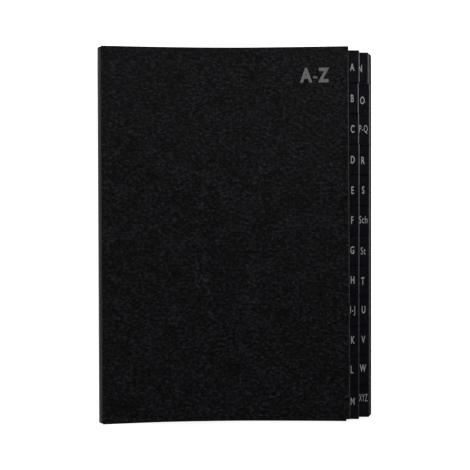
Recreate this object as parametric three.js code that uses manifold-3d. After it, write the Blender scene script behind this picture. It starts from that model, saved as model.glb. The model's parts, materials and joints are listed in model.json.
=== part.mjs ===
// Alphabetical desk sorter: a bowed front cover, a wider flat back cover, a cloth spine and
// twenty-four index dividers whose spine edges sit in a pleated gusset.
// Millimetres. X runs from the spine to the fore edge, Y up the page and Z out of the front cover.
// While it is built, X = 0 is the spine edge of the covers and Y = 0 is half way along the spine.

import * as THREE from "three";
import { mergeVertices } from "three/addons/utils/BufferGeometryUtils.js";
import Module from "manifold-3d";

const wasm = await Module();
wasm.setup();

// Covers
const COVER_LENGTH = 340;
const FRONT_WIDTH = 223;
const BOARD_THICKNESS = 2.2;
const FRONT_CORNER_RADIUS = 0.8;
const BACK_CORNER_RADIUS = 3.2;
const BACK_MARGIN = 1.4;
const FRONT_SKEW_DEG = 0.28;

// Paper linings pasted to the inner faces of the covers
const LINING_THICKNESS = 0.3;
const LINING_INSET = 4;
const PASTE_GAP = 0.1;
const LINING_CLEARANCE = 0.25;

// Index dividers, the first on top under the front cover
const COLUMN_ONE = ["a", "b", "c", "d", "e", "f", "g", "h", "i_j", "k", "l", "m"];
const COLUMN_TWO = ["n", "o", "p_q", "r", "s", "sch", "st", "t", "u", "v", "w", "xyz"];
const CARD_THICKNESS = 0.4;
const CARD_SETBACK = 0.35;
const CARD_DROP = 0.6;
const CARD_DRIFT = 0.09;
const CARD_CORNER_RADIUS = 1;

// Tabs
const TAB_END = 2.25;
const TAB_REACH = 10.3;
const COLUMN_STEP = 9.9;
const TAB_ROOT = 1.5;
const TAB_CORNER_RADIUS = 0.9;
const SHORT_TABS = { b: 0.8, c: 0.4, n: 1.2 };

// Space between neighbouring dividers at the fore edge and at the waist, where the sorter is thinnest
const FORE_GAP = 0.206;
const WAIST_GAP = 0.154;
const WAIST_AT = 136;
const BOW_POWER = 1.7;

// Pleated gusset: one outward fold round the spine edge of each divider, one inward pleat between two
const PLEAT_THICKNESS = 0.15;
const PLEAT_DEPTH = 6;
const PLEAT_CLEARANCE = 0.1;
const PLEAT_SPACING = 0.0875;
const GUSSET_SETBACK = 1.65;

// Spine cloth
const CLOTH_THICKNESS = 0.5;
const CLOTH_BULGE = 5.6;
const CLOTH_TUCK = 1.2;
const CLOTH_CLEARANCE = 0.3;
const CLOTH_SETBACK = 0.3;

// Facets
const BOW_STEPS = 24;
const CLOTH_STEPS = 18;
const CORNER_STEPS = 4;

const CARD_COUNT = COLUMN_ONE.length + COLUMN_TWO.length;
const CARD_LENGTH = COVER_LENGTH - 2 * CARD_SETBACK;
const GUSSET_LENGTH = CARD_LENGTH - 2 * GUSSET_SETBACK;
const CLOTH_LENGTH = COVER_LENGTH - 2 * CLOTH_SETBACK;
const TAB_PITCH = (CARD_LENGTH - 2 * TAB_END) / COLUMN_ONE.length;
const SPINE_GAP = 2 * (PLEAT_CLEARANCE + PLEAT_THICKNESS) + PLEAT_SPACING;
const SKEW_SHIFT = (COVER_LENGTH / 2) * Math.sin(THREE.MathUtils.degToRad(FRONT_SKEW_DEG));
const GUSSET_AT = CLOTH_TUCK + CLOTH_CLEARANCE + SKEW_SHIFT;
const CARDS_FROM = BOARD_THICKNESS + PASTE_GAP + LINING_THICKNESS;
const COLUMN_ONE_EDGE = FRONT_WIDTH + TAB_REACH;
const LAST_TAB_EDGE = COLUMN_ONE_EDGE + COLUMN_STEP + CARD_DRIFT * (CARD_COUNT - 1);
const BACK_WIDTH = LAST_TAB_EDGE + BACK_MARGIN;

// Distance between the middles of neighbouring dividers, x from the spine edge of the covers.
// It falls on a power curve from the spine to the waist and rises as a square to the fore edge.
function cardPitch(x) {
  const from = THREE.MathUtils.clamp(x, 0, FRONT_WIDTH);
  const spineShare = from < WAIST_AT ? (1 - from / WAIST_AT) ** BOW_POWER : 0;
  const foreShare = from > WAIST_AT ? ((from - WAIST_AT) / (FRONT_WIDTH - WAIST_AT)) ** 2 : 0;
  const gap = WAIST_GAP + (SPINE_GAP - WAIST_GAP) * spineShare + (FORE_GAP - WAIST_GAP) * foreShare;
  return CARD_THICKNESS + gap;
}

const cardMiddle = (index, x) => CARDS_FROM + cardPitch(x) * (CARD_COUNT - index - 0.5);
const frontLiningUnder = (x) => CARDS_FROM + cardPitch(x) * CARD_COUNT + LINING_CLEARANCE;
const frontCoverUnder = (x) => frontLiningUnder(x) + LINING_THICKNESS + PASTE_GAP;

function solidOf(geometry) {
  const bare = geometry.clone();
  bare.deleteAttribute("normal");
  bare.deleteAttribute("uv");
  const merged = mergeVertices(bare, 1e-4);
  return new wasm.Manifold(
    new wasm.Mesh({
      numProp: 3,
      vertProperties: merged.attributes.position.array,
      triVerts: new Uint32Array(merged.index.array),
    }),
  );
}

function geometryOf(solid) {
  const mesh = solid.getMesh();
  const geometry = new THREE.BufferGeometry();
  geometry.setAttribute("position", new THREE.BufferAttribute(mesh.vertProperties, 3));
  geometry.setIndex(new THREE.BufferAttribute(mesh.triVerts, 1));
  geometry.computeVertexNormals();
  return geometry;
}

// A flat outline whose corners are [x, y, radius], in order and anticlockwise.
function roundedOutline(corners) {
  const outline = new THREE.Shape();
  corners.forEach(([x, y, radius], i) => {
    const here = new THREE.Vector2(x, y);
    const towards = (corner) => new THREE.Vector2(corner[0], corner[1]).sub(here).setLength(radius);
    const entry = here.clone().add(towards(corners.at(i - 1)));
    const exit = here.clone().add(towards(corners[(i + 1) % corners.length]));
    if (i === 0) outline.moveTo(entry.x, entry.y);
    else outline.lineTo(entry.x, entry.y);
    if (radius > 0) outline.quadraticCurveTo(x, y, exit.x, exit.y);
  });
  outline.closePath();
  return outline;
}

// A prism on an outline in the XY plane, between two heights.
function plate(outline, low, high) {
  const geometry = new THREE.ExtrudeGeometry(outline, {
    depth: high - low,
    bevelEnabled: false,
    curveSegments: CORNER_STEPS,
  });
  return geometry.translate(0, 0, low);
}

// A section of [x, z] points carried along Y for a length, with its middle at y.
function alongSpine(section, length, y) {
  const outline = new THREE.Shape(section.map(([x, z]) => new THREE.Vector2(x, z)));
  const geometry = new THREE.ExtrudeGeometry(outline, { depth: length, bevelEnabled: false });
  return geometry.rotateX(Math.PI / 2).translate(0, y + length / 2, 0);
}

// A bowed sheet: the section between two height curves, cut to an outline seen from above.
function bowedSheet(outline, under, thickness) {
  const box = new THREE.Box2().setFromPoints(outline.getPoints(CORNER_STEPS));
  const margin = 1;
  const from = box.min.x - margin;
  const to = box.max.x + margin;
  const lower = [];
  const upper = [];
  for (let i = 0; i <= BOW_STEPS; i++) {
    const x = from + ((to - from) * i) / BOW_STEPS;
    lower.push([x, under(x)]);
    upper.unshift([x, under(x) + thickness]);
  }
  const length = box.max.y - box.min.y + 2 * margin;
  const slab = solidOf(alongSpine([...lower, ...upper], length, (box.max.y + box.min.y) / 2));
  const heights = [...lower, ...upper].map(([, z]) => z);
  const cutter = solidOf(plate(outline, Math.min(...heights) - margin, Math.max(...heights) + margin));
  return geometryOf(slab.intersect(cutter));
}

function rectangle(left, right, length, middle, spineRadius, foreRadius) {
  const top = middle + length / 2;
  const bottom = middle - length / 2;
  return roundedOutline([
    [left, bottom, spineRadius],
    [right, bottom, foreRadius],
    [right, top, foreRadius],
    [left, top, spineRadius],
  ]);
}

// A divider's outline: its own width, and one tab that stands out past it.
// The first and the last tab of a column run to the end of the divider.
function cardOutline(left, body, tabEdge, place, places) {
  const top = CARD_LENGTH / 2 - CARD_DROP;
  const bottom = -CARD_LENGTH / 2 - CARD_DROP;
  const tabTop = place === 0 ? top : (places / 2 - place) * TAB_PITCH;
  const tabBottom = place === places - 1 ? bottom : (places / 2 - place - 1) * TAB_PITCH;
  const corners = [[left, bottom, 0]];
  if (tabBottom > bottom) corners.push([body, bottom, CARD_CORNER_RADIUS], [body, tabBottom, 0]);
  corners.push([tabEdge, tabBottom, TAB_CORNER_RADIUS], [tabEdge, tabTop, TAB_CORNER_RADIUS]);
  if (tabTop < top) corners.push([body, tabTop, 0], [body, top, CARD_CORNER_RADIUS]);
  corners.push([left, top, 0]);
  return roundedOutline(corners);
}

// The gusset's section: a ribbon that runs out above each divider, round its spine edge and back under
// it, then on to the next. Each bend is mitred on the ribbon's own middle line.
function gussetSection() {
  const wallOffset = CARD_THICKNESS / 2 + PLEAT_CLEARANCE + PLEAT_THICKNESS / 2;
  const middle = [];
  for (let index = 0; index < CARD_COUNT; index++) {
    const outer = GUSSET_AT + PLEAT_THICKNESS / 2 + CARD_DRIFT * index;
    const inner = GUSSET_AT + PLEAT_DEPTH - PLEAT_THICKNESS / 2 + CARD_DRIFT * index;
    middle.push([inner, cardMiddle(index, inner) + wallOffset]);
    middle.push([outer, cardMiddle(index, outer) + wallOffset]);
    middle.push([outer, cardMiddle(index, outer) - wallOffset]);
    middle.push([inner, cardMiddle(index, inner) - wallOffset]);
  }
  const points = middle.map(([x, z]) => new THREE.Vector2(x, z));
  const normalTo = (a, b) => new THREE.Vector2(a.y - b.y, b.x - a.x).normalize();
  const side = (sign) =>
    points.map((point, i) => {
      const before = i > 0 ? normalTo(points[i - 1], point) : normalTo(point, points[1]);
      const after = i < points.length - 1 ? normalTo(point, points[i + 1]) : before;
      const mitre = before.clone().add(after);
      const reach = PLEAT_THICKNESS / mitre.dot(after) / 2;
      return [point.x + sign * reach * mitre.x, point.y + sign * reach * mitre.y];
    });
  return [...side(1), ...side(-1).reverse()];
}

// The spine cloth's section: half an ellipse that bulges past the covers, with a short tuck under each.
function clothSection() {
  const top = frontCoverUnder(CLOTH_TUCK) - CLOTH_CLEARANCE;
  const bottom = BOARD_THICKNESS + CLOTH_CLEARANCE;
  const middle = (top + bottom) / 2;
  const arc = (inset) => {
    const points = [[CLOTH_TUCK, top - inset]];
    for (let i = 0; i <= CLOTH_STEPS; i++) {
      const turn = (Math.PI * i) / CLOTH_STEPS;
      const rise = (top - bottom) / 2 - inset;
      points.push([-(CLOTH_BULGE - inset) * Math.sin(turn), middle + rise * Math.cos(turn)]);
    }
    points.push([CLOTH_TUCK, bottom + inset]);
    return points;
  };
  return [...arc(0), ...arc(CLOTH_THICKNESS).reverse()];
}

const FINISHES = {
  embossed_paper: { color: 0x141416, roughness: 0.6 },
  lining_paper: { color: 0x2b2b2e, roughness: 0.85 },
  index_card: { color: 0x131318, roughness: 0.45 },
  spine_linen: { color: 0x1e1e20, roughness: 0.9 },
  gusset_paper: { color: 0x1a1a1c, roughness: 0.9 },
};

function piece(name, geometry, finish) {
  const { color, roughness } = FINISHES[finish];
  const material = new THREE.MeshStandardMaterial({ color, roughness, metalness: 0 });
  const mesh = new THREE.Mesh(geometry, material);
  mesh.name = name;
  return mesh;
}

// The front cover and its lining, a little askew about the middle of the spine, with the cloth.
function frontAssembly() {
  const group = new THREE.Group();
  const board = rectangle(0, FRONT_WIDTH, COVER_LENGTH, 0, FRONT_CORNER_RADIUS, FRONT_CORNER_RADIUS);
  const liningLength = COVER_LENGTH - 2 * LINING_INSET;
  const lining = rectangle(LINING_INSET, FRONT_WIDTH - LINING_INSET, liningLength, 0, 0, 0);
  group.add(piece("front_cover", bowedSheet(board, frontCoverUnder, BOARD_THICKNESS), "embossed_paper"));
  group.add(piece("front_lining", bowedSheet(lining, frontLiningUnder, LINING_THICKNESS), "lining_paper"));
  group.add(piece("spine_cloth", alongSpine(clothSection(), CLOTH_LENGTH, 0), "spine_linen"));
  group.rotation.z = THREE.MathUtils.degToRad(FRONT_SKEW_DEG);
  return group;
}

function backAssembly() {
  const group = new THREE.Group();
  const board = rectangle(0, BACK_WIDTH, COVER_LENGTH, 0, FRONT_CORNER_RADIUS, BACK_CORNER_RADIUS);
  const liningRight = BACK_WIDTH - BACK_MARGIN / 2;
  const liningLength = COVER_LENGTH - BACK_MARGIN;
  const lining = rectangle(LINING_INSET, liningRight, liningLength, 0, 0, BACK_CORNER_RADIUS);
  const liningUnder = BOARD_THICKNESS + PASTE_GAP;
  group.add(piece("back_cover", plate(board, 0, BOARD_THICKNESS), "embossed_paper"));
  group.add(piece("back_lining", plate(lining, liningUnder, CARDS_FROM), "lining_paper"));
  return group;
}

function dividers() {
  const group = new THREE.Group();
  [COLUMN_ONE, COLUMN_TWO].forEach((letters, column) => {
    letters.forEach((letter, place) => {
      const index = column * COLUMN_ONE.length + place;
      const drift = CARD_DRIFT * index;
      const left = GUSSET_AT + PLEAT_THICKNESS + PLEAT_CLEARANCE + drift;
      const columnEdge = COLUMN_ONE_EDGE + column * COLUMN_STEP;
      const covering = column === 0 ? FRONT_WIDTH : COLUMN_ONE_EDGE;
      const tabEdge = columnEdge + drift - (SHORT_TABS[letter] ?? 0);
      const outline = cardOutline(left, covering - TAB_ROOT, tabEdge, place, letters.length);
      const under = (x) => cardMiddle(index, x) - CARD_THICKNESS / 2;
      group.add(piece("divider_" + letter, bowedSheet(outline, under, CARD_THICKNESS), "index_card"));
    });
  });
  return group;
}

const sorter = new THREE.Group();
sorter.name = "alphabetical_desk_sorter";
sorter.add(frontAssembly(), backAssembly(), dividers());
sorter.add(piece("spine_gusset", alongSpine(gussetSection(), GUSSET_LENGTH, -CARD_DROP), "gusset_paper"));

// The frame's origin is the middle of the footprint, on the surface that the back cover lies on.
const footprint = new THREE.Box3().setFromObject(sorter).getCenter(new THREE.Vector3());
sorter.position.set(-footprint.x, -footprint.y, 0);

export default sorter;
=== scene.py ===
"""Alphabetical desk sorter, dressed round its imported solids: covered boards, linings, spine cloth,
twenty-four index dividers and their print. Metres, X from the spine to the fore edge and Y up the
page."""

import json
import math

import bmesh
import bpy
import numpy as np
from mathutils import Matrix, Vector


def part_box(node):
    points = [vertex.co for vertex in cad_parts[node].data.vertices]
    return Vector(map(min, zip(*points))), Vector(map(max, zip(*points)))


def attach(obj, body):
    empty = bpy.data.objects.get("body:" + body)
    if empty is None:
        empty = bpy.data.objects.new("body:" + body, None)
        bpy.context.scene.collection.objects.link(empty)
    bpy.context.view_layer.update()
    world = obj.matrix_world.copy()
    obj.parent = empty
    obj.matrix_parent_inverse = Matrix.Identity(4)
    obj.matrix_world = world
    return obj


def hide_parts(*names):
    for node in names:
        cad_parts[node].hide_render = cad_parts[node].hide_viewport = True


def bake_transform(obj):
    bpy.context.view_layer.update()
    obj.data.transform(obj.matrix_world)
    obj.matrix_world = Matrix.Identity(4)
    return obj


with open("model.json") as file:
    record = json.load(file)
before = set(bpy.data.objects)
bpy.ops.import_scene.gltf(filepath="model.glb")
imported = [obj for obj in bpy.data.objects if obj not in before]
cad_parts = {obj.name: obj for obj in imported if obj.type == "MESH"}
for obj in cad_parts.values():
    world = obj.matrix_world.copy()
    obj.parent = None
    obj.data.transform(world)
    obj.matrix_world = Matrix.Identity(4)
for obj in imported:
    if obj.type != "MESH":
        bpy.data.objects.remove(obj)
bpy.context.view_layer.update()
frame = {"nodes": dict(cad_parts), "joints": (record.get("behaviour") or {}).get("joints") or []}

bl_info = {
    "name": "Alphabetical desk sorter",
    "version": (1, 0, 0),
    "blender": (4, 5, 0),
    "location": "View3D > Sidebar > Sorter",
    "description": "Builds the visible pieces of an A-Z desk sorter round its solids",
    "category": "Add Mesh",
}

MM = 0.001

# Places read from the solids
BACK_LOW, BACK_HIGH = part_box("back_cover")
SPINE_X = BACK_LOW.x
SPINE_Y = (BACK_LOW.y + BACK_HIGH.y) / 2
BACK_WIDTH = BACK_HIGH.x - BACK_LOW.x
BOARD_LENGTH = BACK_HIGH.y - BACK_LOW.y
BOARD_THICKNESS = BACK_HIGH.z
CARDS_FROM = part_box("back_lining")[1].z
CARD_LOW, CARD_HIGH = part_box("divider_a")
CARD_LENGTH = CARD_HIGH.y - CARD_LOW.y
CARD_MIDDLE_Y = (CARD_HIGH.y + CARD_LOW.y) / 2
FRONT_AXIS = next(j for j in frame["joints"] if j["name"] == "front_hinge")["axis"]
FRONT_SKEW = math.atan2(FRONT_AXIS[0], -FRONT_AXIS[1])

# Sizes of the sorter that the solids' boxes don't give
FRONT_WIDTH = 223 * MM
LINING_THICKNESS = 0.3 * MM
LINING_INSET = 4 * MM
PASTE_GAP = 0.1 * MM
LINING_CLEARANCE = 0.25 * MM
CARD_THICKNESS = 0.4 * MM
SPINE_GAP = 0.5875 * MM
FORE_GAP = 0.206 * MM
WAIST_GAP = 0.154 * MM
WAIST_AT = 136 * MM
BOW_POWER = 1.7
BACK_CORNER = 3.2 * MM
FRONT_CORNER = 0.8 * MM
COVER_WRAP = 0.6 * MM
FRONT_LEAN = 0.0045
TAB_ROOT = 1.5 * MM
TAB_REACH = 10.3 * MM
TAB_END = 2.25 * MM
TAB_CORNER = 0.9 * MM
CLOTH_THICKNESS = 0.45 * MM
CLOTH_BULGE = 5.55 * MM
CLOTH_FLANGE = 3.7 * MM
CLOTH_LAP = 0.05 * MM
CLOTH_END_GAP = 0.6 * MM

# How far apart points may lie that count as one, in metres
WELD = 1e-7
LETTER_WELD = 1e-8

# Offsets from the hinge axis, across the sorter and towards the middle of the spine, of a point that
# the spine step works out but does not use
BEND_FROM = (-0.9 * MM, 2.2 * MM)

# Edge shape of the covered boards
ROLL_POWER = 0.5

# Grid counts: covered boards, linings, dividers and spine cloth
ROLL_POINTS = 11
ACROSS_POINTS = 56
ALONG_POINTS = 50
ROLL_STATIONS = 8
CORNER_STATIONS = 9
LINING_KNOTS = (48, 12)
CARD_KNOTS = (40, 7)
CARD_CORNER_KNOTS = 5
CLOTH_ARC_POINTS = 44
CLOTH_FLANGE_POINTS = 7
CLOTH_STATIONS = 60

# The painted highlight along a cover's fore edge: extra knots in mm from the edge, its depth and its
# level
RIM_KNOTS = (1.2, 0.7, 0.35, 0.1)
RIM_DEPTH = 0.7 * MM
RIM_LEVEL = 1.3

COLUMNS = (
    ("A", "B", "C", "D", "E", "F", "G", "H", "I-J", "K", "L", "M"),
    ("N", "O", "P-Q", "R", "S", "Sch", "St", "T", "U", "V", "W", "XYZ"),
)
# How far each printed letter sits from its even place, across and up, in mm
LETTER_DRIFT = (
    ((-0.2, 0.2), (0.7, -0.4), (0.6, -0.5), (0.4, -0.6), (0.2, -0.7), (0, -0.3),
     (0, 0.1), (0.3, 0.4), (0.4, 1), (0.6, 0.9), (-0.2, 1.3), (0.4, -0.4)),
    ((-1, 0.6), (0, -0.8), (0.9, 0.9), (0.6, -0.5), (0.8, -0.1), (0.8, 0.4),
     (0.8, -0.8), (0.5, -1), (1.3, 0.2), (1, 0.1), (0.7, 1.1), (1, 1.3)),
)
# The cover's print: each sign with its middle across the cover and its widest, then its place up
# the page, measured from the middle of the spine edge
TITLE = (("A", 185.1 * MM, 11.2 * MM), ("-", 193.3 * MM, 4.0 * MM), ("Z", 200.9 * MM, 10.2 * MM))
TITLE_Y = 143.9 * MM
TITLE_LIFT = 0.012 * MM
TITLE_WEIGHT = 0.042
# The tabs' print, for each column: distance of a word's middle from the tab's edge, and its widest
TAB_WORD_INSET = (6.4 * MM, 6.8 * MM)
TAB_WORD_WIDEST = (6.6 * MM, 7.8 * MM)
TAB_LIFT = 0.01 * MM
TAB_WEIGHT = 0.012
WORD_SPACING = 1.14
LETTER_CURVE_STEPS = 4

CARD_COUNT = sum(len(column) for column in COLUMNS)
TAB_PITCH = (CARD_LENGTH - 2 * TAB_END) / len(COLUMNS[0])

# Camera, from the photograph's perspective: the fore edge of the front cover is 600 mm away
IMAGE_PX = 470
SENSOR = 36
FOCAL_PX = 659.3
CAMERA_X = -0.6 * MM
CAMERA_Y = -0.4 * MM
CAMERA_HEIGHT = 620 * MM

# Stage, in metres and watts: the lamps' names, places, widths and powers
FLOOR_REACH = 6.0
BACKDROP = 0.86
LAMPS = (("top_right", (0.75, 1.05, 0.65), 0.6, 15), ("left", (-1.15, 0.15, 0.5), 0.5, 9))


def node_name(letters):
    return "divider_" + letters.lower().replace("-", "_")


def card_number(column, place):
    """A divider's number from the front, starting at 0."""
    return column * len(COLUMNS[0]) + place


# Heights of the bowed stack


def card_pitch(x):
    """Distance between neighbouring dividers at x from the spine edge: card thickness plus a gap
    that falls as (1 - x / waist) to a power up to the waist and rises as a square from there to the
    fore edge."""
    x = np.clip(np.asarray(x, float), 0, FRONT_WIDTH)
    spine_share = np.clip(1 - x / WAIST_AT, 0, 1) ** BOW_POWER
    fore_share = np.clip((x - WAIST_AT) / (FRONT_WIDTH - WAIST_AT), 0, 1) ** 2
    gap = WAIST_GAP + (SPINE_GAP - WAIST_GAP) * spine_share + (FORE_GAP - WAIST_GAP) * fore_share
    return CARD_THICKNESS + gap


def card_middle(index, x):
    """Height of the middle of a divider, counted from the front."""
    return CARDS_FROM + card_pitch(x) * (CARD_COUNT - index - 0.5)


def front_lining_under(x):
    return CARDS_FROM + card_pitch(x) * CARD_COUNT + LINING_CLEARANCE


def front_cover_under(x):
    return front_lining_under(x) + LINING_THICKNESS + PASTE_GAP


def desk_level(x):
    """Height of the back cover's outer face, the same for every x."""
    return np.zeros(np.shape(x))


# Mesh helpers


def placed(points, skew=0.0):
    """Points measured from the middle of the spine edge, turned by the skew and moved to the frame.
    A skewed piece also leans a little up the page towards its fore edge."""
    turn = np.array(Matrix.Rotation(skew, 3, "Z"))
    if skew:
        turn = turn @ np.array([[1, 0, 0], [FRONT_LEAN, 1, 0], [0, 0, 1]])
    return points @ turn.T + np.array([SPINE_X, SPINE_Y, 0.0])


def grid_quads(rows, columns, close_columns=False):
    """Corner numbers of the quads of a grid whose vertices are stored row by row."""
    wrap = columns if close_columns else columns - 1
    row, column = np.meshgrid(np.arange(rows - 1), np.arange(wrap), indexing="ij")
    after = (column + 1) % columns
    a = row * columns + column
    b = row * columns + after
    return np.stack([a, b, b + columns, a + columns], axis=-1).reshape(-1, 4)


def make_object(name, points, quads, material, uv=None, rim=None, sharp_deg=40):
    """A smooth mesh object at the origin, with a UV and a rim value for each vertex if given."""
    mesh = bpy.data.meshes.new(name)
    mesh.from_pydata(points.tolist(), [], quads.tolist())
    if rim is not None:
        values = mesh.attributes.new("rim", "FLOAT", "POINT").data
        values.foreach_set("value", rim.astype(np.float32))
    if uv is not None:
        corners = np.zeros(len(mesh.loops), np.int32)
        mesh.loops.foreach_get("vertex_index", corners)
        layer = mesh.uv_layers.new(name="surface").data
        layer.foreach_set("uv", uv[corners].astype(np.float32).ravel())
    weld(mesh)
    mesh.polygons.foreach_set("use_smooth", np.ones(len(mesh.polygons), bool))
    mesh.set_sharp_from_angle(angle=math.radians(sharp_deg))
    mesh.materials.append(material)
    piece = bpy.data.objects.new(name, mesh)
    bpy.context.scene.collection.objects.link(piece)
    return piece


def weld(mesh, distance=WELD):
    """Joins vertices that coincide, drops faces that closed up and turns all faces outwards."""
    work = bmesh.new()
    work.from_mesh(mesh)
    bmesh.ops.remove_doubles(work, verts=work.verts, dist=distance)
    bmesh.ops.dissolve_degenerate(work, edges=work.edges, dist=distance)
    bmesh.ops.recalc_face_normals(work, faces=work.faces)
    work.to_mesh(mesh)
    work.free()


def covered_board(name, width, under, corner, roll, material, skew=0.0):
    """A board wrapped in paper: a rounded section carried along Y.

    Section at one station: top and bottom faces joined by half turns of a superellipse, whose
    x = width - roll + roll * cos^p and z = half * sin^p. Near each end of the board the half
    thickness shrinks by the same curve, and the width by the corner's circle."""
    turn = np.linspace(np.pi / 2, -np.pi / 2, ROLL_POINTS)
    out = np.abs(np.cos(turn)) ** ROLL_POWER
    rise = np.sign(np.sin(turn)) * np.abs(np.sin(turn)) ** ROLL_POWER
    fine = 1 - np.array(RIM_KNOTS) * MM / width
    share = np.unique(np.concatenate([np.linspace(0, 1, ACROSS_POINTS)[1:-1], fine]))
    # Each section point is a place across the board, an outward roll and a side, +1 on the top.
    across = np.concatenate([share, np.ones(ROLL_POINTS), share[::-1], np.zeros(ROLL_POINTS)])
    outward = np.concatenate([0 * share, out, 0 * share, -out[::-1]])
    side = np.concatenate([0 * share + 1, rise, 0 * share - 1, rise[::-1]])

    near_roll = roll * (1 - np.cos(np.linspace(0, np.pi / 2, ROLL_STATIONS)))
    near_corner = corner * np.linspace(0, 1, CORNER_STATIONS)
    near = np.unique(np.round(np.concatenate([near_roll, near_corner]), 8))
    inner = np.linspace(near[-1], BOARD_LENGTH - near[-1], ALONG_POINTS)[1:-1]
    station = np.concatenate([near, inner, (BOARD_LENGTH - near)[::-1]])
    end = np.minimum(station, BOARD_LENGTH - station)
    thin = (1 - np.clip(1 - end / roll, 0, 1) ** (2 / ROLL_POWER)) ** (ROLL_POWER / 2)
    inset = corner - np.sqrt(np.maximum(corner**2 - np.maximum(corner - end, 0) ** 2, 0))

    fore = (width - roll - inset)[:, None]
    spine = (roll + np.minimum(inset, FRONT_CORNER))[:, None]
    x = spine + (fore - spine) * across[None, :] + roll * outward[None, :]
    half = BOARD_THICKNESS / 2
    z = under(x) + half + half * thin[:, None] * side[None, :]
    y = np.broadcast_to((station - BOARD_LENGTH / 2)[:, None], x.shape)
    points = placed(np.stack([x, y, z], axis=-1).reshape(-1, 3), skew)
    # Painted highlight: how far the cover paper turns paler near the fore edge
    rim = np.clip(RIM_LEVEL - (width - x) / RIM_DEPTH, 0, 1).ravel()
    quads = grid_quads(*x.shape, close_columns=True)
    return make_object(name, points, quads, material, rim=rim, sharp_deg=60)


def sheet_solid(
    name, x_knots, y_knots, keep, under, thickness, material, skew=0.0, edge=None, rim=None
):
    """A thin sheet with cut edges: the kept cells of a grid at the height curve, the same cells one
    thickness higher, and a wall under each edge that has a kept cell on one side only.
    edge gives the grid its final x from its x and y, and rim is a value for each knot of x."""
    x, y = np.meshgrid(x_knots, y_knots, indexing="ij")
    if edge is not None:
        x = edge(x, y)
    low = np.stack([x, y, under(x)], axis=-1)
    high = low + np.array([0, 0, thickness])
    points = placed(np.concatenate([low.reshape(-1, 3), high.reshape(-1, 3)]), skew)
    rows, columns = x.shape
    size = rows * columns
    quads = grid_quads(rows, columns)[keep.ravel()]
    padded = np.pad(keep, 1)
    number = np.arange(size).reshape(rows, columns)
    sides = (
        (padded[:-1, 1:-1] != padded[1:, 1:-1], 0, 1),
        (padded[1:-1, :-1] != padded[1:-1, 1:], 1, 0),
    )
    walls = []
    for here, step_i, step_j in sides:
        i, j = np.nonzero(here)
        a = number[i, j]
        b = number[i + step_i, j + step_j]
        walls.append(np.stack([a, b, b + size, a + size], axis=-1))
    faces = np.concatenate([quads[:, ::-1], quads + size, *walls])
    used = np.unique(faces)
    renumber = np.zeros(2 * size, int)
    renumber[used] = np.arange(len(used))
    if rim is not None:
        rim = np.tile(np.broadcast_to(rim[:, None], x.shape).ravel(), 2)[used]
    return make_object(name, points[used], renumber[faces], material, rim=rim)


# Materials


class Tree:
    """Adds nodes to a node tree and links them in one call."""

    def __init__(self, tree):
        self.tree = tree

    def add(self, kind, sockets=None, **settings):
        node = self.tree.nodes.new(kind if kind.startswith("Node") else "ShaderNode" + kind)
        for key, value in settings.items():
            setattr(node, key, value)
        for key, value in (sockets or {}).items():
            self.put(node.inputs[key], value)
        return node

    def put(self, socket, value):
        """Links another node's socket to this one, or sets its plain value."""
        if isinstance(value, bpy.types.NodeSocket):
            self.tree.links.new(value, socket)
        else:
            socket.default_value = value

    def math(self, operation, a, b=0.0, clamp=False):
        return self.add("Math", {0: a, 1: b}, operation=operation, use_clamp=clamp).outputs[0]

    def weighted(self, *parts):
        """The sum of value times share over pairs of a value and its share."""
        total = None
        for value, share in parts:
            part = self.math("MULTIPLY", value, share)
            total = part if total is None else self.math("ADD", total, part)
        return total

    def mix(self, share, a, b, kind="RGBA"):
        return self.add("Mix", {"Factor": share, "A": a, "B": b}, data_type=kind).outputs["Result"]

    def ramp(self, value, low, high, to_low=0.0, to_high=1.0):
        """A value mapped from low..high to to_low..to_high and held there."""
        sockets = {"Value": value, "From Min": low, "From Max": high}
        sockets |= {"To Min": to_low, "To Max": to_high}
        return self.add("MapRange", sockets).outputs["Result"]

    def noise(self, vector, scale, detail, roughness=0.5, distortion=0.0):
        sockets = {"Vector": vector, "Scale": scale, "Detail": detail}
        sockets |= {"Roughness": roughness, "Distortion": distortion}
        return self.add("TexNoise", sockets).outputs["Fac"]

    def stretched(self, vector, scale):
        return self.add("Mapping", {"Vector": vector, "Scale": scale}).outputs["Vector"]

    def bump(self, height, distance):
        return self.add("Bump", {"Height": height, "Distance": distance}).outputs["Normal"]


def new_group(name, vectors, floats, outputs):
    """An empty shader group: vector inputs, float inputs with defaults, and float outputs."""
    group = bpy.data.node_groups.new(name, "ShaderNodeTree")
    sockets = group.interface
    for socket in vectors:
        sockets.new_socket(name=socket, in_out="INPUT", socket_type="NodeSocketVector")
    for socket, default in floats.items():
        made = sockets.new_socket(name=socket, in_out="INPUT", socket_type="NodeSocketFloat")
        made.default_value = default
    for socket in outputs:
        sockets.new_socket(name=socket, in_out="OUTPUT", socket_type="NodeSocketFloat")
    return Tree(group)


def emboss_group():
    """Embossed cover paper: pebbles of about a millimetre crossed by long shallow creases."""
    tree = new_group(
        "embossed grain", ("Vector",), {"Pebble": 520.0, "Crease": 130.0}, ("Height", "Mottle")
    )
    start = tree.add("NodeGroupInput").outputs
    vector = tree.stretched(start["Vector"], (0.63, 0.8, 1.0))
    pebble = tree.noise(vector, start["Pebble"], 3.0, roughness=0.62)
    warp = tree.noise(vector, start["Crease"], 4.0, roughness=0.55, distortion=1.6)
    ridge = tree.math("ABSOLUTE", tree.math("SUBTRACT", warp, 0.5))
    crease = tree.ramp(ridge, 0.0, 0.07)
    fine = tree.noise(start["Vector"], 1900.0, 1.0)
    cloud = tree.noise(start["Vector"], 45.0, 3.0)
    height = tree.weighted((pebble, 0.62), (crease, 0.22), (fine, 0.16))
    mottle = tree.weighted((pebble, 0.85), (cloud, 0.15))
    tree.add("NodeGroupOutput", {"Height": height, "Mottle": mottle})


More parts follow.
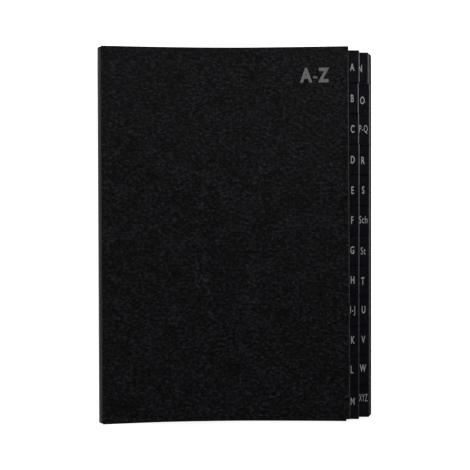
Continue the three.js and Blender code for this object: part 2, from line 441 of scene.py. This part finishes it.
def fibre_group():
    """Smooth paper or card: fine fibres along the grain and a faint cloudiness."""
    tree = new_group("paper fibre", ("Vector",), {"Fineness": 1400.0}, ("Height", "Cloud"))
    start = tree.add("NodeGroupInput").outputs
    fibre = tree.noise(tree.stretched(start["Vector"], (1.0, 0.22, 1.0)), start["Fineness"], 2.0)
    cloud = tree.noise(start["Vector"], 240.0, 4.0, roughness=0.65)
    tree.add("NodeGroupOutput", {"Height": fibre, "Cloud": cloud})


def weave_group():
    """Plain weave: warp and weft threads as crossed waves that pass over each other in turn."""
    tree = new_group("plain weave", ("Vector",), {"Threads": 1500.0}, ("Height", "Shade"))
    start = tree.add("NodeGroupInput").outputs
    axes = tree.add("SeparateXYZ", {"Vector": start["Vector"]}).outputs
    turn = tree.math("MULTIPLY", start["Threads"], math.pi)
    across = tree.math("MULTIPLY", axes["X"], turn)
    along = tree.math("MULTIPLY", axes["Y"], turn)
    warp = tree.math("ABSOLUTE", tree.math("SINE", across))
    weft = tree.math("ABSOLUTE", tree.math("SINE", along))
    over = tree.math("MULTIPLY", tree.math("COSINE", across), tree.math("COSINE", along))
    woven = tree.mix(tree.ramp(over, -0.4, 0.4), warp, weft, kind="FLOAT")
    slub = tree.noise(start["Vector"], 260.0, 3.0)
    height = tree.weighted((woven, 0.75), (slub, 0.25))
    tree.add("NodeGroupOutput", {"Height": height, "Shade": height})


def edge_group():
    """Where a piece's rim turns paler in broken patches, a painted highlight on the covers and
    partly on the tabs, and where its faces stand upright.
    """
    tree = new_group(
        "rubbed edge", ("Vector", "Normal"), {"Rim": 0.0, "Breakup": 0.5}, ("Mask", "Cut")
    )
    start = tree.add("NodeGroupInput").outputs
    up = tree.add("SeparateXYZ", {"Vector": start["Normal"]}).outputs["Z"]
    cut = tree.ramp(tree.math("ABSOLUTE", up), 0.6, 0.3)
    whole = tree.ramp(tree.noise(start["Vector"], 160.0, 4.0), 0.3, 0.6)
    lost = tree.math("MULTIPLY", start["Breakup"], tree.math("SUBTRACT", 1.0, whole))
    mask = tree.math("MULTIPLY", start["Rim"], tree.math("SUBTRACT", 1.0, lost), clamp=True)
    tree.add("NodeGroupOutput", {"Mask": mask, "Cut": cut})


def use_group(tree, name, sockets):
    return tree.add("Group", sockets, node_tree=bpy.data.node_groups[name]).outputs


def new_material(name):
    """The tree and the shader of a new material by that name."""
    material = bpy.data.materials.new(name)
    material.use_nodes = True
    return Tree(material.node_tree), material.node_tree.nodes["Principled BSDF"]


def finish_surface(tree, shader, color, roughness, specular, height, depth):
    """Sets a shader's colour, roughness and specular level, and a bump of a depth in metres."""
    tree.put(shader.inputs["Base Color"], color)
    tree.put(shader.inputs["Roughness"], roughness)
    shader.inputs["Specular IOR Level"].default_value = specular
    tree.put(shader.inputs["Normal"], tree.bump(height, depth))


def grey(value, blue=1.0):
    return (value, value, value * blue, 1.0)


def tone(color, share):
    """A colour made darker or lighter, with its alpha."""
    return (*[channel * share for channel in color], 1.0)


def highlighted(tree, place, breakup):
    """Masks of a piece's pale rim, where a highlight is painted, and of its cut faces."""
    rim = tree.add("Attribute", attribute_name="rim", attribute_type="GEOMETRY").outputs["Fac"]
    sockets = {"Vector": place["Object"], "Normal": place["Normal"], "Rim": rim, "Breakup": breakup}
    return use_group(tree, "rubbed edge", sockets)


def embossed_paper(settings):
    """Black cover paper with a pressed grain whose light specks are partly painted glints, and a
    highlight painted paler along the rolled fore edge.
    """
    tree, shader = new_material("pressed_cover_paper")
    place = tree.add("TexCoord").outputs
    grain = use_group(tree, "embossed grain", {"Vector": place["Object"]})
    edge = highlighted(tree, place, 0.55)
    # The grain's light specks in the colour are partly the paper's tone and partly painted glints of
    # the embossed grain
    mottle = tree.ramp(grain["Mottle"], 0.40, 0.68)
    speck_and_glint = tree.math("MULTIPLY", mottle, mottle)
    ground = tree.mix(speck_and_glint, tone(settings.cover_color, 0.05), tone(settings.cover_color, 5.6))
    # Painted highlight: the cover paper is mixed towards pale grey along the fore edge
    pale_rim_and_highlight = tree.mix(tree.math("MULTIPLY", edge["Mask"], 0.8), ground, grey(0.075))
    roughness = tree.ramp(grain["Mottle"], 0.3, 0.7, 0.62, 0.46)
    finish_surface(tree, shader, pale_rim_and_highlight, roughness, settings.cover_sheen, grain["Height"], 0.0013)


def index_card(settings):
    """Smooth black divider card with a pale line along each tab's outer edge, partly the card's pale
    edge and partly a painted highlight that fades down the page.
    """
    tree, shader = new_material("smooth_divider_card")
    place = tree.add("TexCoord").outputs
    fibre = use_group(tree, "paper fibre", {"Vector": place["Object"]})
    edge = highlighted(tree, place, 0.25)
    cloud = tree.ramp(fibre["Cloud"], 0.3, 0.7)
    ground = tree.mix(cloud, tone(settings.card_color, 0.55), tone(settings.card_color, 1.45))
    along = tree.add("SeparateXYZ", {"Vector": place["Object"]}).outputs["Y"]
    # Painted highlight: the pale line on the tab's edge fades towards the bottom of the page
    rim_lit_from_top = tree.math("MULTIPLY", edge["Mask"], tree.ramp(along, -0.22, 0.06))
    pale_rim_and_highlight = tree.mix(rim_lit_from_top, ground, grey(settings.rim_and_highlight_grey, 1.02))
    shade = tree.mix(tree.math("MULTIPLY", edge["Cut"], 0.6), pale_rim_and_highlight, grey(0.035))
    finish_surface(tree, shader, shade, 0.42, settings.card_sheen, fibre["Height"], 0.00003)


def plain_paper(name, fineness, low, high, roughness, specular):
    """Uncoated paper, cloudy between two tones, with fine fibres."""
    tree, shader = new_material(name)
    place = tree.add("TexCoord").outputs["Object"]
    fibre = use_group(tree, "paper fibre", {"Vector": place, "Fineness": fineness})
    shade = tree.mix(tree.ramp(fibre["Cloud"], 0.3, 0.7), low, high)
    finish_surface(tree, shader, shade, roughness, specular, fibre["Height"], 0.00005)


def lining_paper(settings):
    """Dark grey uncoated paper pasted inside the covers."""
    color = settings.lining_color
    plain_paper("plain_lining", 900.0, tone(color, 0.8), tone(color, 1.2), 0.8, 0.25)


def gusset_paper(settings):
    """Soft black paper of the pleated gusset."""
    color = settings.gusset_color
    plain_paper("soft_pleat_paper", 700.0, tone(color, 0.625), tone(color, 1.375), 0.85, 0.2)


def spine_linen(settings):
    """Dark bookbinder's linen with a plain weave that follows the cloth round the spine."""
    tree, shader = new_material("woven_linen")
    weave = use_group(tree, "plain weave", {"Vector": tree.add("TexCoord").outputs["UV"]})
    thread = tree.ramp(weave["Shade"], 0.2, 0.9)
    shade = tree.mix(thread, tone(settings.linen_color, 0.5), tone(settings.linen_color, 1.4))
    finish_surface(tree, shader, shade, 0.78, 0.2, weave["Height"], 0.00015)
    shader.inputs["Sheen Weight"].default_value = 0.05


def grey_print(name, value):
    """Grey foil print, slightly broken by the grain beneath it."""
    tree, shader = new_material(name)
    grain = tree.noise(tree.add("TexCoord").outputs["Object"], 900.0, 2.0)
    shade = tree.mix(tree.ramp(grain, 0.35, 0.62), grey(value * 0.8), grey(value))
    finish_surface(tree, shader, shade, 0.5, 0.3, grain, 0.00004)


def hold(piece, body, slot, *nodes):
    """The piece moves with a body and stands for its solids; slot is not used."""
    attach(piece, body)
    if nodes:
        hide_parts(*nodes)


def dress(node, material):
    """Gives a solid that stays in view one of the scene's own materials."""
    slots = frame["nodes"][node].data.materials
    slots.clear()
    slots.append(bpy.data.materials[material])


# Lettering


def letter_mesh(text, weight):
    """Points and faces of closed letter solids in the built-in sans, one unit deep."""
    curve = bpy.data.curves.new("lettering", "FONT")
    curve.body = text
    curve.offset = weight
    curve.space_character = WORD_SPACING
    curve.extrude = 0.5
    curve.resolution_u = LETTER_CURVE_STEPS
    holder = bpy.data.objects.new("lettering", curve)
    bpy.context.scene.collection.objects.link(holder)
    depsgraph = bpy.context.evaluated_depsgraph_get()
    mesh = bpy.data.meshes.new_from_object(holder.evaluated_get(depsgraph))
    points = np.zeros(len(mesh.vertices) * 3)
    mesh.vertices.foreach_get("co", points)
    points = points.reshape(-1, 3)
    faces = [tuple(face.vertices) for face in mesh.polygons]
    bpy.data.objects.remove(holder)
    bpy.data.curves.remove(curve)
    bpy.data.meshes.remove(mesh)
    return points, faces


def lettering(name, words, material, cap_height, condense, weight, depth):
    """One mesh of several words. Each word is (text, middle x, middle y, widest, height curve, up,
    skew): its ink is centred on the place, narrowed by condense and then to the widest allowed,
    laid on the height curve and faces up or down."""
    capital, _ = letter_mesh("H", weight)
    scale = cap_height / np.ptp(capital[:, 1])
    base = capital[:, 1].min()
    all_points, all_faces, count = [], [], 0
    for text, x, y, widest, height, up, skew in words:
        points, faces = letter_mesh(text, weight if len(text) == 1 and text != "-" else 0)
        natural = np.ptp(points[:, 0]) * scale
        narrow = min(condense, widest / natural)
        middle = (points[:, 0].min() + points[:, 0].max()) / 2
        flat_x = (points[:, 0] - middle) * scale * narrow * up
        flat_y = (points[:, 1] - base) * scale - cap_height / 2
        across = x + flat_x
        z = height(across) + points[:, 2] * depth * up
        ready = placed(np.stack([across, y + flat_y, z], axis=-1), skew)
        all_points.append(ready)
        all_faces += [tuple(count + v for v in face) for face in faces]
        count += len(points)
    mesh = bpy.data.meshes.new(name)
    mesh.from_pydata(np.concatenate(all_points).tolist(), [], all_faces)
    weld(mesh, LETTER_WELD)
    mesh.materials.append(material)
    piece = bpy.data.objects.new(name, mesh)
    bpy.context.scene.collection.objects.link(piece)
    return piece


# Properties


class SorterSettings(bpy.types.PropertyGroup):
    """Sizes and colours of the covers, dividers and cloth"""

    cover_color: bpy.props.FloatVectorProperty(
        name="Cover colour",
        description="Colour of the cover paper",
        subtype="COLOR",
        default=(0.0037, 0.0037, 0.0048),
    )
    cover_sheen: bpy.props.FloatProperty(
        name="Cover sheen",
        description="Specular level of the cover paper",
        default=0.088,
        min=0,
        max=1,
    )
    cover_roll: bpy.props.FloatProperty(
        name="Edge roll",
        description="Radius of the wrapped board edges",
        default=0.35 * MM,
        unit="LENGTH",
    )
    card_color: bpy.props.FloatVectorProperty(
        name="Card colour",
        description="Colour of the divider card",
        subtype="COLOR",
        default=(0.0078, 0.0069, 0.0108),
    )
    card_sheen: bpy.props.FloatProperty(
        name="Card sheen",
        description="Specular level of the divider card",
        default=0.05,
        min=0,
        max=1,
    )
    # Grey of the tabs' pale edge line, partly the card's pale edge and partly painted highlight
    rim_and_highlight_grey: bpy.props.FloatProperty(
        name="Tab edge grey",
        description="Grey of the rubbed line on the tabs' edges",
        default=0.27,
        min=0,
        max=1,
    )
    # Width of the tabs' pale edge line, which carries a painted highlight
    rim_width: bpy.props.FloatProperty(
        name="Tab edge width",
        description="Width of the rubbed line on the tabs' edges",
        default=0.75 * MM,
        unit="LENGTH",
    )
    lining_color: bpy.props.FloatVectorProperty(
        name="Lining colour",
        description="Colour of the lining paper",
        subtype="COLOR",
        default=(0.055, 0.055, 0.057),
    )
    linen_color: bpy.props.FloatVectorProperty(
        name="Linen colour",
        description="Colour of the spine cloth",
        subtype="COLOR",
        default=(0.017, 0.017, 0.0177),
    )
    gusset_color: bpy.props.FloatVectorProperty(
        name="Gusset colour",
        description="Colour of the gusset paper",
        subtype="COLOR",
        default=(0.016, 0.016, 0.016),
    )


class LetterSettings(bpy.types.PropertyGroup):
    """Sizes of the print"""

    title_cap: bpy.props.FloatProperty(
        name="Title height",
        description="Height of the cover's capitals",
        default=13.4 * MM,
        unit="LENGTH",
    )
    tab_cap: bpy.props.FloatProperty(
        name="Tab letter height",
        description="Height of a capital on a tab",
        default=6.9 * MM,
        unit="LENGTH",
    )
    tab_condense: bpy.props.FloatProperty(
        name="Tab letter width",
        description="Share of the letters' natural width",
        default=0.55,
        min=0.3,
        max=1.5,
    )
    depth: bpy.props.FloatProperty(
        name="Print depth",
        description="How far the print stands off its sheet",
        default=0.03 * MM,
        unit="LENGTH",
    )


# Operators


class SORTER_OT_finishes(bpy.types.Operator):
    """Makes the shared pattern groups and one material for each finish"""

    bl_idname = "sorter.finishes"
    bl_label = "Finishes"

    def execute(self, context):
        settings = context.scene.sorter
        for build in (emboss_group, fibre_group, weave_group, edge_group):
            build()
        for build in (embossed_paper, index_card, lining_paper, spine_linen, gusset_paper):
            build(settings)
        grey_print("cover_print", 0.15)
        grey_print("tab_print", 0.48)
        return {"FINISHED"}


class SORTER_OT_covers(bpy.types.Operator):
    """Makes the two covered boards with rolled paper edges"""

    bl_idname = "sorter.covers"
    bl_label = "Covers"

    def execute(self, context):
        paper = bpy.data.materials["pressed_cover_paper"]
        roll = context.scene.sorter.cover_roll
        width = FRONT_WIDTH + COVER_WRAP
        front = covered_board(
            "front_cover_covered", width, front_cover_under, FRONT_CORNER, roll, paper, FRONT_SKEW
        )
        hold(front, "front_board", "embossed_paper", "front_cover")
        width = BACK_WIDTH + COVER_WRAP
        back = covered_board("back_cover_covered", width, desk_level, BACK_CORNER, roll, paper)
        hold(back, "back_board", "embossed_paper", "back_cover")
        return {"FINISHED"}


class SORTER_OT_linings(bpy.types.Operator):
    """Makes the linings pasted inside the covers"""

    bl_idname = "sorter.linings"
    bl_label = "Linings"

    def execute(self, context):
        paper = bpy.data.materials["plain_lining"]
        half = BOARD_LENGTH / 2 - LINING_INSET
        x = np.linspace(LINING_INSET, FRONT_WIDTH - LINING_INSET, LINING_KNOTS[0])
        y = np.linspace(-half, half, LINING_KNOTS[1])
        keep = np.ones((len(x) - 1, len(y) - 1), bool)
        shape = (x, y, keep, front_lining_under, LINING_THICKNESS)
        front = sheet_solid("front_lining_sheet", *shape, paper, FRONT_SKEW)
        hold(front, "front_board", "lining_paper", "front_lining")
        dress("back_lining", "plain_lining")
        return {"FINISHED"}


class SORTER_OT_dividers(bpy.types.Operator):
    """Makes the twenty-four index dividers with their tabs"""

    bl_idname = "sorter.dividers"
    bl_label = "Dividers"

    def execute(self, context):
        card = bpy.data.materials["smooth_divider_card"]
        for column, letters in enumerate(COLUMNS):
            for place, letter in enumerate(letters):
                self.divider(column, place, letter, context.scene.sorter.rim_width, card)
        return {"FINISHED"}

    def divider(self, column, place, letter, rim_width, card):
        """A sheet as wide as its solid at its tab, and as wide as the column's body elsewhere."""
        low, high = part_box(node_name(letter))
        left = low.x - SPINE_X
        tab_edge = high.x - SPINE_X
        body = (FRONT_WIDTH if column == 0 else FRONT_WIDTH + TAB_REACH) - TAB_ROOT
        bottom = low.y - SPINE_Y
        top = high.y - SPINE_Y
        tab_top, tab_bottom = tab_span(place)
        corner = TAB_CORNER * (1 - np.cos(np.linspace(0, np.pi / 2, CARD_CORNER_KNOTS)))
        y = [np.linspace(bottom, top, CARD_KNOTS[1]), tab_bottom + corner, tab_top - corner]
        y = np.unique(np.round(np.concatenate(y), 7))
        tab_knots = tab_edge - rim_width * np.array([1, 1 / 3, 0])
        x = np.concatenate([np.linspace(left, body, CARD_KNOTS[0]), tab_knots])
        middle_y = (y[1:] + y[:-1]) / 2
        in_tab = (middle_y > tab_bottom) & (middle_y < tab_top)
        keep = np.ones((len(x) - 1, len(y) - 1), bool)
        keep[-len(tab_knots):] = in_tab[None, :]

        def edge(x_grid, y_grid):
            """Rounds the tab's two outer corners: the last points follow a quarter circle."""
            from_end = np.minimum(tab_top - y_grid, y_grid - tab_bottom)
            back = np.clip(TAB_CORNER - from_end, 0, TAB_CORNER)
            inset = TAB_CORNER - np.sqrt(np.maximum(TAB_CORNER**2 - back**2, 0))
            share = np.clip((x_grid - (tab_edge - rim_width)) / rim_width, 0, 1)
            return x_grid - np.where(from_end >= -WELD, inset, 0) * share

        def under(at):
            return card_middle(card_number(column, place), at) - CARD_THICKNESS / 2

        rim = np.zeros(len(x))
        rim[-2:] = 1
        name = node_name(letter)
        piece = sheet_solid(
            name + "_card", x, y, keep, under, CARD_THICKNESS, card, edge=edge, rim=rim
        )
        hold(piece, "leaf_block", "index_card", name)


def tab_span(place):
    """Top and bottom of a tab, the first and last reaching the divider's ends."""
    places = len(COLUMNS[0])
    shift = CARD_MIDDLE_Y - SPINE_Y
    top = (places / 2 - place) * TAB_PITCH
    bottom = (places / 2 - place - 1) * TAB_PITCH
    if place == 0:
        top = CARD_LENGTH / 2 + shift
    if place == places - 1:
        bottom = -CARD_LENGTH / 2 + shift
    return top, bottom


class SORTER_OT_spine(bpy.types.Operator):
    """Makes the spine cloth as two halves that reach their covers' inner faces, and finishes the
    gusset
    """

    bl_idname = "sorter.spine"
    bl_label = "Spine"

    def execute(self, context):
        top = float(front_cover_under(0.0)) - CLOTH_LAP
        bottom = BOARD_THICKNESS + CLOTH_LAP
        middle = (top + bottom) / 2
        self.half("spine_cloth_front_half", top, middle, 1, "front_board", "front_cover_covered")
        self.half("spine_cloth_back_half", bottom, middle, -1, "back_board", "back_cover_covered")
        dress("spine_gusset", "soft_pleat_paper")
        return {"FINISHED"}

    def half(self, name, end_z, middle, side, body, cover):
        """A quarter ellipse from the middle of the spine to the cover's inner face, then a flange.

        Outer path: x = -bulge * sin(t), z = middle + rise * cos(t) for t from 90 to 0 degrees, then
        x runs in under the board. The inner path is one cloth thickness inside it."""
        rise = abs(end_z - middle)
        turn = np.linspace(np.pi / 2, 0, CLOTH_ARC_POINTS)
        flange = np.linspace(0, CLOTH_FLANGE, CLOTH_FLANGE_POINTS)[1:]

        def path(inset):
            x = np.concatenate([-(CLOTH_BULGE - inset) * np.sin(turn), flange])
            drop = front_cover_under(0.0) - front_cover_under(flange) if side > 0 else 0 * flange
            flat = side * (rise - inset) - drop
            z = middle + np.concatenate([side * (rise - inset) * np.cos(turn), flat])
            return np.stack([x, z], axis=-1)

        outer = path(0)
        inner = path(CLOTH_THICKNESS)
        length = BOARD_LENGTH - CLOTH_END_GAP
        y = np.linspace(-length / 2, length / 2, CLOTH_STATIONS)
        section = np.concatenate([outer, inner[::-1]])
        x = np.broadcast_to(section[:, 0], (len(y), len(section)))
        z = np.broadcast_to(section[:, 1], x.shape)
        lengthwise = np.broadcast_to(y[:, None], x.shape)
        points = placed(np.stack([x, lengthwise, z], axis=-1).reshape(-1, 3), FRONT_SKEW)
        arc = np.concatenate([[0], np.cumsum(np.hypot(*np.diff(outer, axis=0).T))])
        crosswise = np.broadcast_to(np.concatenate([arc, arc[::-1]]), x.shape)
        uv = np.stack([crosswise, lengthwise], axis=-1).reshape(-1, 2)
        quads = grid_quads(*x.shape, close_columns=True)
        count = len(section)
        ends = []
        for start, flip in ((0, 1), ((len(y) - 1) * count, -1)):
            k = np.arange(len(outer) - 1)
            cap = np.stack([k, k + 1, count - 2 - k, count - 1 - k], axis=-1) + start
            ends.append(cap[:, ::flip])
        linen = bpy.data.materials["woven_linen"]
        piece = make_object(name, points, np.concatenate([quads, *ends]), linen, uv=uv)
        hinge = next(j for j in frame["joints"] if j["child"] == body)
        pivot = Vector(hinge["pos_m"])
        start = pivot + Vector((BEND_FROM[0], 0, -side * BEND_FROM[1]))
        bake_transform(piece)
        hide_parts("spine_cloth")


class SORTER_OT_print(bpy.types.Operator):
    """Prints the cover's A-Z and the letters on the tabs"""

    bl_idname = "sorter.print"
    bl_label = "Print"

    def execute(self, context):
        letters = context.scene.sorter_letters
        depth = letters.depth
        ink = bpy.data.materials["cover_print"]
        laid = (self.cover_face, 1, FRONT_SKEW)
        words = [(sign, x, TITLE_Y, widest, *laid) for sign, x, widest in TITLE]
        title = lettering("cover_title", words, ink, letters.title_cap, 1.0, TITLE_WEIGHT, depth)
        hold(title, "front_board", "embossed_paper")
        ink = bpy.data.materials["tab_print"]
        size = (letters.tab_cap, letters.tab_condense)
        for column, piece_name in enumerate(("tab_letters_one", "tab_letters_two")):
            words = []
            for place, name in enumerate(COLUMNS[column]):
                words += self.tab_words(column, place, name)
            piece = lettering(piece_name, words, ink, *size, TAB_WEIGHT, depth)
            hold(piece, "leaf_block", "index_card")
        return {"FINISHED"}

    @staticmethod
    def cover_face(x):
        return front_cover_under(x) + BOARD_THICKNESS + TITLE_LIFT

    def tab_words(self, column, place, name):
        """The same word on both faces of a tab."""
        index = card_number(column, place)
        across, up = LETTER_DRIFT[column][place]
        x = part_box(node_name(name))[1].x - SPINE_X - TAB_WORD_INSET[column] + across * MM
        y = (len(COLUMNS[0]) / 2 - place - 0.5) * TAB_PITCH + up * MM
        off = CARD_THICKNESS / 2 + TAB_LIFT

        def above(at):
            return card_middle(index, at) + off

        def below(at):
            return card_middle(index, at) - off

        widest = TAB_WORD_WIDEST[column]
        return [(name, x, y, widest, above, 1, 0.0), (name, x, y, widest, below, -1, 0.0)]


class SORTER_OT_stage(bpy.types.Operator):
    """Makes the pale floor, the studio light and the camera"""

    bl_idname = "sorter.stage"
    bl_label = "Stage"

    def execute(self, context):
        scene = context.scene
        self.floor()
        self.world(scene)
        for lamp in LAMPS:
            self.lamp(*lamp)
        self.camera(scene)
        scene.view_settings.view_transform = "Standard"
        return {"FINISHED"}

    def floor(self):
        """A pale floor that the camera, gloss and glass see as near white."""
        mesh = bpy.data.meshes.new("floor")
        low, high = -FLOOR_REACH, FLOOR_REACH
        corners = [(low, low, 0), (high, low, 0), (high, high, 0), (low, high, 0)]
        mesh.from_pydata(corners, [], [(0, 1, 2, 3)])
        piece = bpy.data.objects.new("floor", mesh)
        bpy.context.scene.collection.objects.link(piece)
        tree, shader = new_material("floor")
        shader.inputs["Base Color"].default_value = grey(0.8)
        shader.inputs["Roughness"].default_value = 0.9
        shader.inputs["Specular IOR Level"].default_value = 0.0
        path = tree.add("LightPath").outputs
        seen = tree.math("MAXIMUM", path["Is Glossy Ray"], path["Is Transmission Ray"])
        seen = tree.math("MAXIMUM", path["Is Camera Ray"], seen)
        shader.inputs["Emission Color"].default_value = grey(1.0)
        tree.put(shader.inputs["Emission Strength"], tree.math("MULTIPLY", seen, BACKDROP))
        mesh.materials.append(bpy.data.materials["floor"])

    def world(self, scene):
        """White where the camera sees it, and a dome that lights most from near the horizon."""
        world = bpy.data.worlds.new("studio")
        world.use_nodes = True
        scene.world = world
        tree = Tree(world.node_tree)
        background = world.node_tree.nodes["Background"]
        direction = tree.add("TexCoord").outputs["Generated"]
        up = tree.add("SeparateXYZ", {"Vector": direction}).outputs["Z"]
        dome = tree.ramp(up, 0.15, 0.85, 0.55, 0.05)
        seen = tree.add("LightPath").outputs["Is Camera Ray"]
        background.inputs["Color"].default_value = grey(1.0)
        tree.put(background.inputs["Strength"], tree.mix(seen, dome, 1.0, kind="FLOAT"))

    def lamp(self, name, place, size, power):
        light = bpy.data.lights.new(name, "AREA")
        light.shape = "DISK"
        light.size = size
        light.energy = power
        lamp = bpy.data.objects.new(name, light)
        lamp.location = place
        lamp.rotation_euler = (-Vector(place)).to_track_quat("-Z", "Y").to_euler()
        bpy.context.scene.collection.objects.link(lamp)

    def camera(self, scene):
        data = bpy.data.cameras.new("camera")
        data.sensor_fit = "HORIZONTAL"
        data.sensor_width = SENSOR
        data.lens = FOCAL_PX / IMAGE_PX * SENSOR
        data.clip_start = 0.01
        data.clip_end = 20
        camera = bpy.data.objects.new("camera", data)
        camera.location = (CAMERA_X, CAMERA_Y, CAMERA_HEIGHT)
        scene.collection.objects.link(camera)
        scene.camera = camera


class SORTER_PT_panel(bpy.types.Panel):
    """Lists the sorter's steps in the 3D view's sidebar"""

    bl_label = "Desk sorter"
    bl_idname = "SORTER_PT_panel"
    bl_space_type = "VIEW_3D"
    bl_region_type = "UI"
    bl_category = "Sorter"

    def draw(self, context):
        for group in (context.scene.sorter, context.scene.sorter_letters):
            for name in group.__annotations__:
                self.layout.prop(group, name)
        for step in STEPS:
            self.layout.operator(step.bl_idname)


STEPS = (
    SORTER_OT_finishes,
    SORTER_OT_covers,
    SORTER_OT_linings,
    SORTER_OT_dividers,
    SORTER_OT_spine,
    SORTER_OT_print,
    SORTER_OT_stage,
)
CLASSES = (SorterSettings, LetterSettings, *STEPS, SORTER_PT_panel)


def register():
    for kind in CLASSES:
        bpy.utils.register_class(kind)
    bpy.types.Scene.sorter = bpy.props.PointerProperty(type=SorterSettings)
    bpy.types.Scene.sorter_letters = bpy.props.PointerProperty(type=LetterSettings)


def unregister():
    del bpy.types.Scene.sorter_letters
    del bpy.types.Scene.sorter
    for kind in reversed(CLASSES):
        bpy.utils.unregister_class(kind)


def main():
    register()
    for step in STEPS:
        getattr(bpy.ops.sorter, step.bl_idname.split(".")[1])()


if __name__ == "__main__":
    main()
